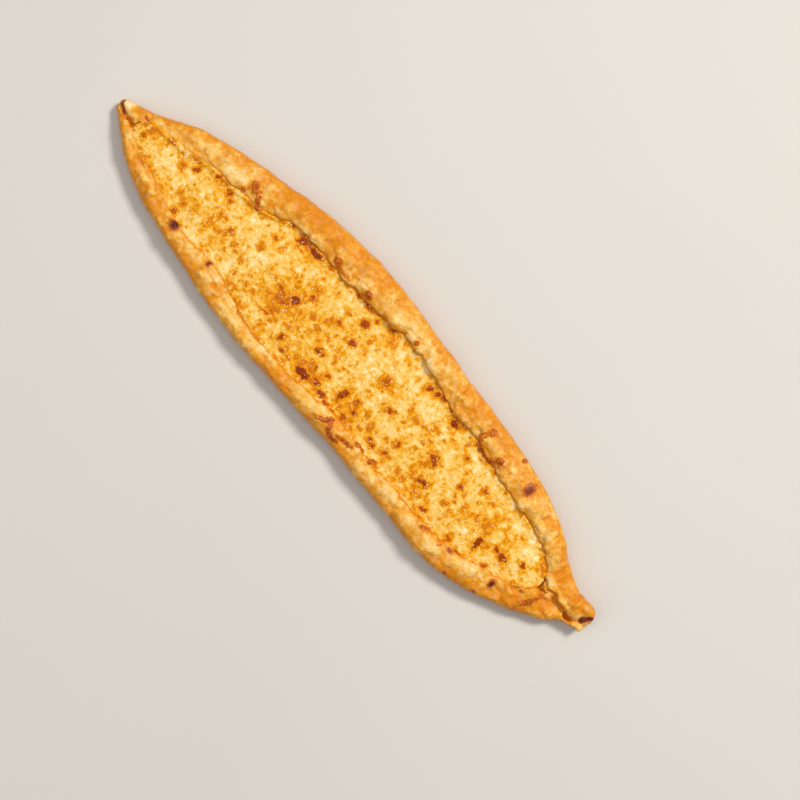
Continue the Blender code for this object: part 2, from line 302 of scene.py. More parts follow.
def lattice(cell, seed):
    """A repeatable random number from 0 to 1 for each whole-number cell."""
    code = cell[..., 0] * 374761393 + cell[..., 1] * 668265263 + cell[..., 2] * 2147483647
    code = (code + seed * 1274126177) & 0xFFFFFFFF
    code = ((code ^ (code >> 13)) * 1103515245) & 0xFFFFFFFF
    code = ((code ^ (code >> 16)) * 2246822519) & 0xFFFFFFFF
    return ((code ^ (code >> 15)) & 0xFFFFFF) / float(0xFFFFFF)


def waves(points, size, seed):
    """Smooth uneven noise from -1 to 1 whose lumps are about size across."""
    scaled = points / size
    low = np.floor(scaled).astype(np.int64)
    part = scaled - low
    part = part * part * part * (part * (part * 6 - 15) + 10)
    total = np.zeros(len(points))
    for corner in range(8):
        step = np.array([corner & 1, corner >> 1 & 1, corner >> 2 & 1])
        weight = np.prod(np.where(step == 1, part, 1 - part), axis=1)
        total += weight * lattice(low + step, seed)
    return total * 2 - 1


def rough_waves(points, size, seed, layers=3):
    """Noise with ever finer lumps on the larger ones, from about -1 to 1."""
    total, share, whole = np.zeros(len(points)), 1.0, 0.0
    for layer in range(layers):
        total += share * waves(points, size / 2**layer, seed + 17 * layer)
        whole += share
        share *= 0.55
    return total / whole


def cells(points, size, seed):
    """Distance to the nearest scattered centre, in sizes, and that centre's random number."""
    flat = points[:, :2] / size
    low = np.floor(flat).astype(np.int64)
    nearest = np.full(len(points), 9.0)
    owner = np.zeros(len(points))
    for dx in (-1, 0, 1):
        for dy in (-1, 0, 1):
            cell = np.column_stack([low[:, 0] + dx, low[:, 1] + dy, np.zeros(len(low), np.int64)])
            place = cell[:, :2] + np.column_stack([lattice(cell, seed), lattice(cell, seed + 5)])
            away = np.hypot(*(flat - place).T)
            closer = away < nearest
            nearest = np.where(closer, away, nearest)
            owner = np.where(closer, lattice(cell, seed + 9), owner)
    return nearest, owner


def facets(points, size, seed):
    """Height of flat facets that each lean their own way, and the nearness of their edges."""
    flat = points[:, :2] / size
    low = np.floor(flat).astype(np.int64)
    nearest, second = np.full(len(points), 9.0), np.full(len(points), 9.0)
    lean = np.zeros(len(points))
    for dx in (-1, 0, 1):
        for dy in (-1, 0, 1):
            cell = np.column_stack([low[:, 0] + dx, low[:, 1] + dy, np.zeros(len(low), np.int64)])
            place = cell[:, :2] + np.column_stack([lattice(cell, seed), lattice(cell, seed + 5)])
            offset = flat - place
            away = np.hypot(*offset.T)
            turn = math.tau * lattice(cell, seed + 9)
            slope = offset[:, 0] * np.cos(turn) + offset[:, 1] * np.sin(turn)
            closer = away < nearest
            second = np.where(closer, nearest, np.minimum(second, away))
            nearest = np.where(closer, away, nearest)
            lean = np.where(closer, slope, lean)
    return lean, np.exp(-(((second - nearest) / 0.1) ** 2))


def ease(low, high, value):
    t = np.clip((value - low) / (high - low), 0, 1)
    return t * t * (3 - 2 * t)


def spot_distance(points, x, y, half_x, half_y, seed, raggedness=0.25):
    """Distance from a spot's centre in its own radii, with a ragged outline."""
    away = np.hypot((points[:, 0] - x) / half_x, (points[:, 1] - y) / half_y)
    return away * (1 + raggedness * waves(points, 1.6, seed)) + 0.12 * waves(points, 0.9, seed + 3)


def line_distance(points, line):
    """Distance in mm from a straight line between two places."""
    start, end = np.array(line[:2], float), np.array(line[2:4], float)
    run = end - start
    share = np.clip((points[:, :2] - start) @ run / (run @ run), 0, 1)
    away = points[:, :2] - (start + share[:, None] * run)
    return np.hypot(*away.T)


# ---------------------------------------------------------------- meshes


def deselect_all():
    if bpy.context.mode != "OBJECT":
        bpy.ops.object.mode_set(mode="OBJECT")
    bpy.ops.object.select_all(action="DESELECT")


def choose(piece):
    deselect_all()
    bpy.context.view_layer.objects.active = piece
    piece.select_set(True)


def copy_of_node(node, name):
    """A piece with a copy of a CAD node's mesh, its loose triangles merged."""
    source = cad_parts[node]
    piece = bpy.data.objects.new(name, source.data.copy())
    piece.data.name = name
    bpy.context.scene.collection.objects.link(piece)
    choose(piece)
    bpy.ops.object.mode_set(mode="EDIT")
    bpy.ops.mesh.select_all(action="SELECT")
    bpy.ops.mesh.remove_doubles(threshold=0.00001)
    bpy.ops.mesh.customdata_custom_splitnormals_clear()
    bpy.ops.object.mode_set(mode="OBJECT")
    return piece


def apply(piece, kind, name, **settings):
    choose(piece)
    modifier = piece.modifiers.new(name, kind)
    for key, value in settings.items():
        setattr(modifier, key, value)
    bpy.ops.object.modifier_apply(modifier=modifier.name)


def places(piece):
    """The piece's points in mm."""
    flat = np.zeros(len(piece.data.vertices) * 3)
    piece.data.vertices.foreach_get("co", flat)
    return flat.reshape(-1, 3) / MM


def facings(piece):
    flat = np.zeros(len(piece.data.vertices) * 3, np.float32)
    piece.data.vertex_normals.foreach_get("vector", flat)
    return flat.reshape(-1, 3).astype(float)


def move_to(piece, points):
    piece.data.vertices.foreach_set("co", (points * MM).ravel())
    piece.data.update()


def keep_values(piece, name, values):
    layer = piece.data.attributes.new(name, "FLOAT", "POINT")
    layer.data.foreach_set("value", np.clip(values, 0, 1).astype(np.float32))


def finish_piece(piece, material, node=None):
    piece.data.materials.clear()
    piece.data.materials.append(material)
    choose(piece)
    bpy.ops.object.shade_smooth()
    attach(piece, "root")
    if node:
        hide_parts(node)


def order_of(face):
    """A number that tells each face of a small mesh from the others."""
    corners = sorted(v.index for v in face.verts)
    return corners[0] * 1e6 + corners[1] * 1e3 + corners[-1]


def many_balls(name, count, segments, rings):
    """A piece made of that many equal balls, and the points of one ball in mm."""
    deselect_all()
    bpy.ops.mesh.primitive_uv_sphere_add(
        segments=segments, ring_count=rings, radius=MM, calc_uvs=False)
    piece = bpy.context.active_object
    piece.name = name
    piece.data.name = name
    # A new sphere's faces come in no fixed order, so they are put in one
    form = bmesh.new()
    form.from_mesh(piece.data)
    form.faces.sort(key=order_of)
    form.to_mesh(piece.data)
    form.free()
    ball = places(piece)
    apply(piece, "ARRAY", "copies", count=count)
    return piece, ball


def tree_of(piece):
    mesh = piece.data
    mesh.calc_loop_triangles()
    corners = [v.co.copy() for v in mesh.vertices]
    return BVHTree.FromPolygons(corners, [t.vertices[:] for t in mesh.loop_triangles])


def height_under(tree, x, y, missing):
    """Height in mm of the surface below a place, or missing where there is none."""
    hit = tree.ray_cast(Vector((x * MM, y * MM, OVERHEAD)), Vector((0, 0, -1)))
    return missing if hit[0] is None else hit[0].z / MM


def read_plan():
    """x of each station, and y of the slim rim's edge and lip and of the wide rim's lip and edge."""
    bread, cheese = tree_of(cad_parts["bread"]), tree_of(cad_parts["cheese_filling"])
    low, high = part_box("bread")
    across = np.arange(low[1] / MM - 1, high[1] / MM + 1, ACROSS_STEP)
    rows = []
    for x in np.arange(low[0] / MM + STATION_STEP / 2, high[0] / MM, STATION_STEP):
        solid, open_top = [], []
        for y in across:
            crust = height_under(bread, x, y, -1.0)
            filling = height_under(cheese, x, y, -1.0)
            if max(crust, filling) > 0:
                solid.append(y)
            if filling > crust:
                open_top.append(y)
        if not open_top:
            open_top = [np.nan]
        rows.append((x, solid[0], open_top[0], open_top[-1], solid[-1]))
    plan = np.array(rows)
    known = ~np.isnan(plan[:, 2])
    middle = np.interp(plan[:, 0], plan[known, 0], (plan[known, 2] + plan[known, 3]) / 2)
    for column in (2, 3):
        plan[~known, column] = middle[~known]
    return plan


def across_rims(points, plan):
    """For each point: is it on the wide rim, its share of the way from the outer edge to the
    lip, and how many mm past the lip it lies."""
    edge = [np.interp(points[:, 0], plan[:, 0], plan[:, i]) for i in (1, 2, 3, 4)]
    on_wide = points[:, 1] > (edge[1] + edge[2]) / 2
    outer = np.where(on_wide, edge[3], edge[0])
    lip = np.where(on_wide, edge[2], edge[1])
    width = np.maximum(np.abs(outer - lip), 2.0)
    share = np.abs(points[:, 1] - outer) / width
    inward = np.where(on_wide, edge[2] - points[:, 1], points[:, 1] - edge[1])
    return on_wide, share, inward


# ---------------------------------------------------------------- materials


def node(tree, kind, feeds=None, values=None, stops=None, **settings):
    """Adds one shader node with its settings. Feeds are linked inputs, values are set ones, and
    stops are places and colours along a colour ramp."""
    made = tree.nodes.new(kind)
    for key, value in settings.items():
        setattr(made, key, value)
    for key, value in (values or {}).items():
        made.inputs[key].default_value = value
    for key, source in (feeds or {}).items():
        tree.links.new(source, made.inputs[key])
    if stops:
        elements = made.color_ramp.elements
        while len(elements) < len(stops):
            elements.new(0.5)
        for element, (place, colour) in zip(elements, stops):
            element.position = place
            element.color = hex_colour(colour) if isinstance(colour, str) else colour
    return made


def new_material(name):
    material = bpy.data.materials.new(name)
    material.use_nodes = True
    tree = material.node_tree
    return material, tree, tree.nodes["Principled BSDF"]


def mottled(tree, tone, pattern, share):
    """The tone with the pattern's ups and downs added to it."""
    drift = node(tree, "ShaderNodeMath", {0: pattern}, {1: 0.5}, operation="SUBTRACT").outputs[0]
    return node(tree, "ShaderNodeMath", {0: drift, 2: tone}, {1: share},
                operation="MULTIPLY_ADD").outputs[0]


def crust_material(settings):
    """Baked bread dough: a dry satin skin, pale where it was folded, golden to brown where heat
    reached it, freckled with fine specks and blackened on the blisters. Its colour also holds
    painted light: pale clouds that are partly painted highlight, facet tops painted paler as
    highlight, and creases and folds painted darker as shade."""
    material, tree, shader = new_material("baked_crust")
    place = node(tree, "ShaderNodeTexCoord").outputs["Object"]
    baking = node(tree, "ShaderNodeAttribute", attribute_name="baking").outputs["Fac"]
    char = node(tree, "ShaderNodeAttribute", attribute_name="char").outputs["Fac"]
    # Cloudy patches 9 mm down to 1.5 mm across, where the skin browned unevenly
    toned = baking
    for seed, (across, share) in enumerate(((9.0, 0.32), (4.5, 0.44), (1.7, 0.42))):
        patches = node(tree, "ShaderNodeTexNoise", {"Vector": place},
                       {"Scale": 1 / (across * MM), "W": seed}, noise_dimensions="4D")
        toned = mottled(tree, toned, patches.outputs["Fac"], share)
    toned = node(tree, "ShaderNodeMath", {0: toned}, {1: 0.62, 2: 0.16},
                 operation="SMOOTH_MIN").outputs[0]
    # Halos and stains that browned, together with the painted shade of the creases
    browning_and_crease_shade = node(tree, "ShaderNodeAttribute", attribute_name="browning_and_crease_shade").outputs["Fac"]
    ragged = node(tree, "ShaderNodeTexNoise", {"Vector": place},
                  {"Scale": 1 / (1.8 * MM), "W": 8.0}, noise_dimensions="4D").outputs["Fac"]
    browned = mottled(tree, browning_and_crease_shade, ragged, 0.3)
    toned = node(tree, "ShaderNodeMath", {0: toned, 1: browned}, operation="MAXIMUM").outputs[0]
    pale, golden = (*settings.pale, 1.0), (*settings.golden, 1.0)
    crust = node(tree, "ShaderNodeValToRGB", {"Fac": toned}, stops=(
        (0.12, "#ffe2a8"), (0.24, pale), (0.33, "#f7c05e"), (0.4, "#efae42"), (0.47, "#e8a02c"),
        (0.54, golden), (0.61, "#e08a12"), (0.68, "#cf740c"), (0.77, "#ad520f"),
        (0.88, "#874012"), (1.0, "#632808"),
    )).outputs["Color"]
    # Freckles under 1 mm, drawn 1.3 mm across so that they show, and paler clouds, partly floury
    # dust and partly painted highlight
    dots = node(tree, "ShaderNodeTexNoise", {"Vector": place},
                {"Scale": 1 / (1.3 * MM), "Detail": 1.0, "W": 3.0}, noise_dimensions="4D")
    freckles = node(tree, "ShaderNodeMapRange", {"Value": dots.outputs["Fac"]},
                    {"From Min": 0.64, "From Max": 0.74, "To Max": 0.35}).outputs["Result"]
    crust = node(tree, "ShaderNodeMix", {"Factor": freckles, 6: crust},
                 {7: hex_colour("#c06a12")}, data_type="RGBA").outputs[2]
    clouds = node(tree, "ShaderNodeTexNoise", {"Vector": place},
                  {"Scale": 1 / (3.6 * MM), "W": 4.0}, noise_dimensions="4D")
    flour_and_highlight = node(tree, "ShaderNodeMapRange", {"Value": clouds.outputs["Fac"]},
                 {"From Min": 0.5, "From Max": 0.82, "To Max": 0.55}).outputs["Result"]
    # Little of these pale clouds, floury dust and painted highlight, shows on the flanks, which
    # browned most
    bare = node(tree, "ShaderNodeMapRange", {"Value": baking},
                {"From Min": 0.48, "From Max": 0.66, "To Min": 1.0, "To Max": 0.25})
    flour_and_highlight = node(tree, "ShaderNodeMath", {0: flour_and_highlight, 1: bare.outputs["Result"]},
                 operation="MULTIPLY").outputs[0]
    crust = node(tree, "ShaderNodeMix", {"Factor": flour_and_highlight, 6: crust},
                 {7: hex_colour("#ffe4ae")}, data_type="RGBA").outputs[2]
    # Char in ragged patches, with blisters 1.6 mm across in it
    blisters = node(tree, "ShaderNodeTexNoise", {"Vector": place},
                    {"Scale": 1 / (1.6 * MM), "W": 5.0}, noise_dimensions="4D").outputs["Fac"]
    charred = mottled(tree, char, blisters, 0.3)
    burnt = node(tree, "ShaderNodeValToRGB", {"Fac": charred}, stops=(
        (0.0, "#d98322"), (0.3, "#b9622a"), (0.6, "#93472a"), (0.85, "#74301a"), (1.0, "#55200f"),
    )).outputs["Color"]
    cover = node(tree, "ShaderNodeMapRange", {"Value": char},
                 {"From Min": 0.05, "From Max": 0.4}).outputs["Result"]
    colour = node(tree, "ShaderNodeMix", {"Factor": cover, 6: crust, 7: burnt},
                  data_type="RGBA").outputs[2]
    tree.links.new(colour, shader.inputs["Base Color"])
    satin = node(tree, "ShaderNodeMapRange", {"Value": toned}, {"To Min": 0.48, "To Max": 0.32})
    tree.links.new(satin.outputs["Result"], shader.inputs["Roughness"])
    # Fine puckers of the dried skin, 1.3 mm across, on gentler 4 mm ones
    swells = node(tree, "ShaderNodeTexNoise", {"Vector": place},
                  {"Scale": 1 / (4.0 * MM), "W": 6.0}, noise_dimensions="4D").outputs["Fac"]
    gentle = node(tree, "ShaderNodeBump", {"Height": swells},
                  {"Strength": 0.9, "Distance": 0.9 * MM}).outputs["Normal"]
    puckers = node(tree, "ShaderNodeTexNoise", {"Vector": place},
                   {"Scale": 1 / (1.3 * MM), "Detail": 3.0, "W": 7.0},
                   noise_dimensions="4D").outputs["Fac"]
    skin = node(tree, "ShaderNodeBump", {"Height": puckers, "Normal": gentle},
                {"Strength": 0.9, "Distance": 0.32 * MM}).outputs["Normal"]
    tree.links.new(skin, shader.inputs["Normal"])
    shader.inputs["IOR"].default_value = 1.42
    shader.inputs["Subsurface Weight"].default_value = 0.06
    shader.inputs["Subsurface Radius"].default_value = (1.0, 0.45, 0.2)
    shader.inputs["Subsurface Scale"].default_value = 0.8 * MM
    shader.inputs["Specular IOR Level"].default_value = 0.24
    return material


def cheese_material(settings):
    """Melted young cheese: an oily, slightly clear skin with a pebbled surface, pale yellow where
    it only melted, golden and then brown where its bubbles toasted."""
    material, tree, shader = new_material("melted_cheese")
    place = node(tree, "ShaderNodeTexCoord").outputs["Object"]
    gilding = node(tree, "ShaderNodeAttribute", attribute_name="gilding").outputs["Fac"]
    toasting = node(tree, "ShaderNodeAttribute", attribute_name="toasting").outputs["Fac"]
    # Mottling of the melted shreds, from 10 mm down to 1.2 mm
    toned, shreds = gilding, []
    for across, seed, share in (
            (11.0, 8.0, 0.34), (5.5, 9.0, 0.5), (2.8, 1.0, 0.52), (1.3, 2.0, 0.42)):
        shreds.append(node(tree, "ShaderNodeTexNoise", {"Vector": place},
                           {"Scale": 1 / (across * MM), "Detail": 1.0, "W": seed},
                           noise_dimensions="4D").outputs["Fac"])
        toned = mottled(tree, toned, shreds[-1], share)
    coarse, fine = shreds[-2:]
    # Only the toasted bubbles go past golden
    toned = node(tree, "ShaderNodeMath", {0: toned}, {1: 0.66, 2: 0.12},
                 operation="SMOOTH_MIN").outputs[0]
    browned = mottled(tree, mottled(tree, toasting, coarse, 0.22), fine, 0.3)
    toned = node(tree, "ShaderNodeMath", {0: toned, 1: browned}, operation="MAXIMUM").outputs[0]
    pale, golden = (*settings.pale, 1.0), (*settings.golden, 1.0)
    colour = node(tree, "ShaderNodeValToRGB", {"Fac": toned}, stops=(
        (0.14, "#ffe9b6"), (0.25, pale), (0.33, "#facd72"), (0.39, "#f7c35c"), (0.45, "#f3b845"),
        (0.51, golden), (0.57, "#e99a06"), (0.64, "#da8202"), (0.71, "#bc5c02"),
        (0.81, "#943a04"), (1.0, "#6a1a02"),
    )).outputs["Color"]
    tree.links.new(colour, shader.inputs["Base Color"])
    sheen = node(tree, "ShaderNodeMapRange", {"Value": coarse},
                 {"From Min": 0.3, "From Max": 0.7, "To Min": 0.24, "To Max": 0.42})
    tree.links.new(sheen.outputs["Result"], shader.inputs["Roughness"])
    # Pebbles 1.6 mm across with finer grit on them
    pebbles = node(tree, "ShaderNodeTexVoronoi", {"Vector": place}, {"Scale": 1 / (1.6 * MM)},
                   feature="SMOOTH_F1").outputs["Distance"]
    beads = node(tree, "ShaderNodeBump", {"Height": pebbles},
                 {"Strength": 0.9, "Distance": 0.32 * MM}, invert=True).outputs["Normal"]
    skin = node(tree, "ShaderNodeBump", {"Height": fine, "Normal": beads},
                {"Strength": 0.6, "Distance": 0.2 * MM}).outputs["Normal"]
    tree.links.new(skin, shader.inputs["Normal"])
    shader.inputs["IOR"].default_value = 1.45
    shader.inputs["Specular IOR Level"].default_value = 0.1
    shader.inputs["Subsurface Weight"].default_value = 0.06
    shader.inputs["Subsurface Radius"].default_value = (1.0, 0.6, 0.25)
    shader.inputs["Subsurface Scale"].default_value = 0.6 * MM
    shader.inputs["Coat Weight"].default_value = 0.1
    shader.inputs["Coat Roughness"].default_value = 0.1
    return material


def spill_material():
    """Cheese that boiled over and burnt on the hot dough: brittle, glossy, amber to red-brown."""
    material, tree, shader = new_material("burnt_cheese")
    place = node(tree, "ShaderNodeTexCoord").outputs["Object"]
    crusting = node(tree, "ShaderNodeAttribute", attribute_name="toasting").outputs["Fac"]
    # Burst bubbles under 1 mm, drawn 1.3 mm across so that they show
    mottle = node(tree, "ShaderNodeTexNoise", {"Vector": place},
                  {"Scale": 1 / (1.3 * MM), "Detail": 3.0, "W": 1.0},
                  noise_dimensions="4D").outputs["Fac"]
    toned = mottled(tree, crusting, mottle, 0.9)
    colour = node(tree, "ShaderNodeValToRGB", {"Fac": toned}, stops=(
        (0.0, "#f1a436"), (0.25, "#da7d10"), (0.5, "#b8580a"), (0.75, "#943c08"),
        (1.0, "#6a2405"),
    )).outputs["Color"]
    tree.links.new(colour, shader.inputs["Base Color"])
    bubbles = node(tree, "ShaderNodeBump", {"Height": mottle},
                   {"Strength": 1.0, "Distance": 0.4 * MM}).outputs["Normal"]
    tree.links.new(bubbles, shader.inputs["Normal"])
    shader.inputs["Roughness"].default_value = 0.34
    shader.inputs["IOR"].default_value = 1.45
    shader.inputs["Specular IOR Level"].default_value = 0.3
    return material


def fat_glint_material():
    """Drops of melted butterfat: clear, wet and faintly yellow, seen mostly as small glints; their
    near-white colour is partly painted glint, so that each drop shows as a pale speck.
    """
    material, tree, shader = new_material("butterfat")
    place = node(tree, "ShaderNodeTexCoord").outputs["Object"]
    # The tint drifts from drop to drop, over 6 mm
    tint = node(tree, "ShaderNodeTexNoise", {"Vector": place},
                {"Scale": 1 / (6.0 * MM), "Detail": 1.0, "W": 1.0},
                noise_dimensions="4D").outputs["Fac"]
    # Painted glint: the near-white colours keep the drops pale specks even where no lamp glints on
    # them
    colour = node(tree, "ShaderNodeValToRGB", {"Fac": tint}, stops=(
        (0.3, "#fff4d2"), (0.7, "#ffe3a0"),
    )).outputs["Color"]
    tree.links.new(colour, shader.inputs["Base Color"])
    shader.inputs["Roughness"].default_value = 0.2
    shader.inputs["IOR"].default_value = 1.46
    shader.inputs["Specular IOR Level"].default_value = 0.8
    return material


# ---------------------------------------------------------------- operators


def pools_at(points, pools, seed):
    """Sum of the broad patches' changes at each point, with uneven edges."""
    total = np.zeros(len(points))
    for i, (x, y, half_x, half_y, change) in enumerate(pools):
        away = np.hypot((points[:, 0] - x) / half_x, (points[:, 1] - y) / half_y)
        away += 0.35 * waves(points, 5.0, seed + i)
        total += change * ease(1.5, 0.4, away)
    return total


class PIDE_OT_bake_bread(bpy.types.Operator):
    """Shapes and colours the dough of the boat"""

    bl_idname = "pide.bake_bread"
    bl_label = "Bake Bread"

    def execute(self, context):
        settings = context.scene.pide_dough
        piece = copy_of_node("bread", "baked_bread")
        apply(piece, "SUBSURF", "soften", levels=1, render_levels=1)
        apply(piece, "REMESH", "skin", mode="VOXEL", voxel_size=settings.grain)
        apply(piece, "SMOOTH", "relax", factor=0.5, iterations=3)
        points, normals = places(piece), facings(piece)
        plan = read_plan()
        on_wide, share, inward = across_rims(points, plan)
        upper = ease(1.0, 5.0, points[:, 2]) * ease(-0.5, 0.2, normals[:, 2])
        mask = upper * ease(3.0, 0.0, inward)
        warped = points + 1.8 * np.column_stack(
            [waves(points, 5.0, 61), waves(points, 5.0, 62), np.zeros(len(points))])
        # Lumps left by the fingers, with flatter facets between shallow valleys
        lumps = settings.lumps / MM
        facet, facet_id = cells(warped, 9.5, 17)
        pucker, pucker_id = cells(warped, 4.6, 23)
        rise = 0.7 * waves(points, 19.0, 3) + 0.8 * waves(points, 9.0, 11)
        rise += 2.4 * (0.4 - facet) * (0.4 + facet_id) + 0.5 * (facet_id - 0.5)
        rise += 1.1 * (0.4 - pucker) * (0.3 + pucker_id) + 0.16 * waves(points, 2.6, 29)
        lean, fold = facets(warped, 11.0, 37)
        rise += 1.2 * lean - 0.35 * fold
        small_lean, small_fold = facets(warped, 5.5, 47)
        rise += 0.5 * small_lean - 0.16 * small_fold
        rise *= lumps * mask * (1 + 0.5 * ease(140, 175, points[:, 0]))
        rise *= 0.3 + 0.7 * ease(0.08, 0.4, share)
        x, slim = points[:, 0], ~on_wide
        ledge = ease(LEDGE[0], LEDGE[0] + 6, x) * ease(LEDGE[1], LEDGE[1] - 12, x) * slim
        rise -= 0.9 * ledge * ease(0.46, 0.6, share) * ease(1.1, 0.95, share)
        doubled = ease(DOUBLED_LIP[0], DOUBLED_LIP[0] + 8, x) * slim
        doubled *= ease(DOUBLED_LIP[1], DOUBLED_LIP[1] - 14, x)
        rise += doubled * (0.8 * np.exp(-(((share - 0.88) / 0.09) ** 2))
                           - 0.8 * np.exp(-(((share - 0.7) / 0.08) ** 2)))
        crease = np.zeros(len(points))
        for line in CREASES:
            away = line_distance(points + 0.55 * (warped - points), line)
            depth, half = line[4], line[5]
            cut = np.exp(-((away / half) ** 2))
            rise -= 1.2 * depth * cut * upper
            rise += 0.3 * depth * np.exp(-(((away - 2.8 * half) / (1.5 * half)) ** 2)) * upper
            crease = np.maximum(crease, cut * min(depth, 1.0))
        under_flap = ease(FLAP[0], FLAP[1], x) * ease(FLAP[3], FLAP[2], x) * slim
        rise -= 1.3 * under_flap * ease(0.35, 0.9, share) * upper
        char, halo = np.zeros(len(points)), np.zeros(len(points))
        for i, (spot_x, spot_y, half_x, half_y, dark) in enumerate(DOUGH_BLISTERS):
            away = spot_distance(points, spot_x, spot_y, half_x, half_y, 70 + i)
            rise += 0.7 * np.exp(-((away / 0.9) ** 2)) * upper
            char = np.maximum(char, dark * ease(1.2, 0.3, away))
            halo = np.maximum(halo, ease(2.2, 0.9, away))
        for line in CHAR_LINES:
            away = line_distance(points + 0.3 * (warped - points), line)
            char = np.maximum(char, line[5] * ease(1.5, 0.3, away / line[4]))
        char *= ease(1.5, 4.0, points[:, 2])
        stain = np.zeros(len(points))
        for spot_x, spot_y, half_x, half_y, dark in BURNT_SPILLS:
            away = np.hypot((points[:, 0] - spot_x) / (half_x + 1.2),
                            (points[:, 1] - spot_y) / (half_y + 1.2))
            stain = np.maximum(stain, dark * ease(1.5, 0.6, away))
        points += normals * rise[:, None]
        limit, spare = CREST
        too_high = np.maximum(points[:, 2] - limit, 0.0)
        pressed = points[:, 2] - too_high + spare * np.tanh(too_high / spare)
        points[:, 2] = np.maximum(pressed, 0.0)
        move_to(piece, points)
        # Baked colour: strongest low on the outside, a thin toasted lip, and palest on the facets'
        # raised middles, which is painted highlight
        flank = ease(0.6, 0.2, share)
        low = ease(12.0, 3.0, points[:, 2]) * ease(3.0, 0.0, inward)
        baking = settings.baking - 0.09 + 0.13 * flank + 0.12 * low
        baking -= 0.04 * ease(0.5, 0.75, share)
        # Partly toasting, partly painted light: the steep inner wall of each lip lies in shade and
        # is painted a warmer orange-brown, standing in for light bounced into it
        baking += 0.38 * ease(0.88, 1.0, share) * ease(0.8, 0.3, normals[:, 2]) * upper
        baking += 0.09 * rough_waves(points, 24.0, 5, 3) + 0.04 * rough_waves(points, 6.0, 41, 2)
        # Painted highlight and shade: the raised middles and higher sides of the facets and puckers
        # are painted paler, and the folds between them darker; the facets' own random tone is real
        baking += 0.14 * (facet - 0.4) + 0.08 * (facet_id - 0.5) + 0.06 * (pucker - 0.4)
        baking += (0.05 * fold - 0.12 * lean - 0.06 * small_lean) * upper
        baking += pools_at(points, CRUST_POOLS, 500)
        toasted_lip = np.exp(-(((inward + 0.4) / 0.9) ** 2))
        baking += 0.26 * toasted_lip * ease(-0.3, 0.5, waves(points, 9.0, 83))
        # Painted shade: the creases are darkened in both values below; the halo round the blisters
        # and the stain round the spills are real
        baking += 0.12 * crease + 0.08 * stain
        browning_and_crease_shade = np.maximum(0.72 * halo, np.maximum(0.7 * crease, 0.68 * stain))
        browning_and_crease_shade = np.maximum(browning_and_crease_shade, 0.8 * ease(-0.2, -0.8, normals[:, 2]))
        keep_values(piece, "baking", baking)
        keep_values(piece, "browning_and_crease_shade", browning_and_crease_shade)
        keep_values(piece, "char", char)
        finish_piece(piece, crust_material(settings), "bread")
        return {"FINISHED"}


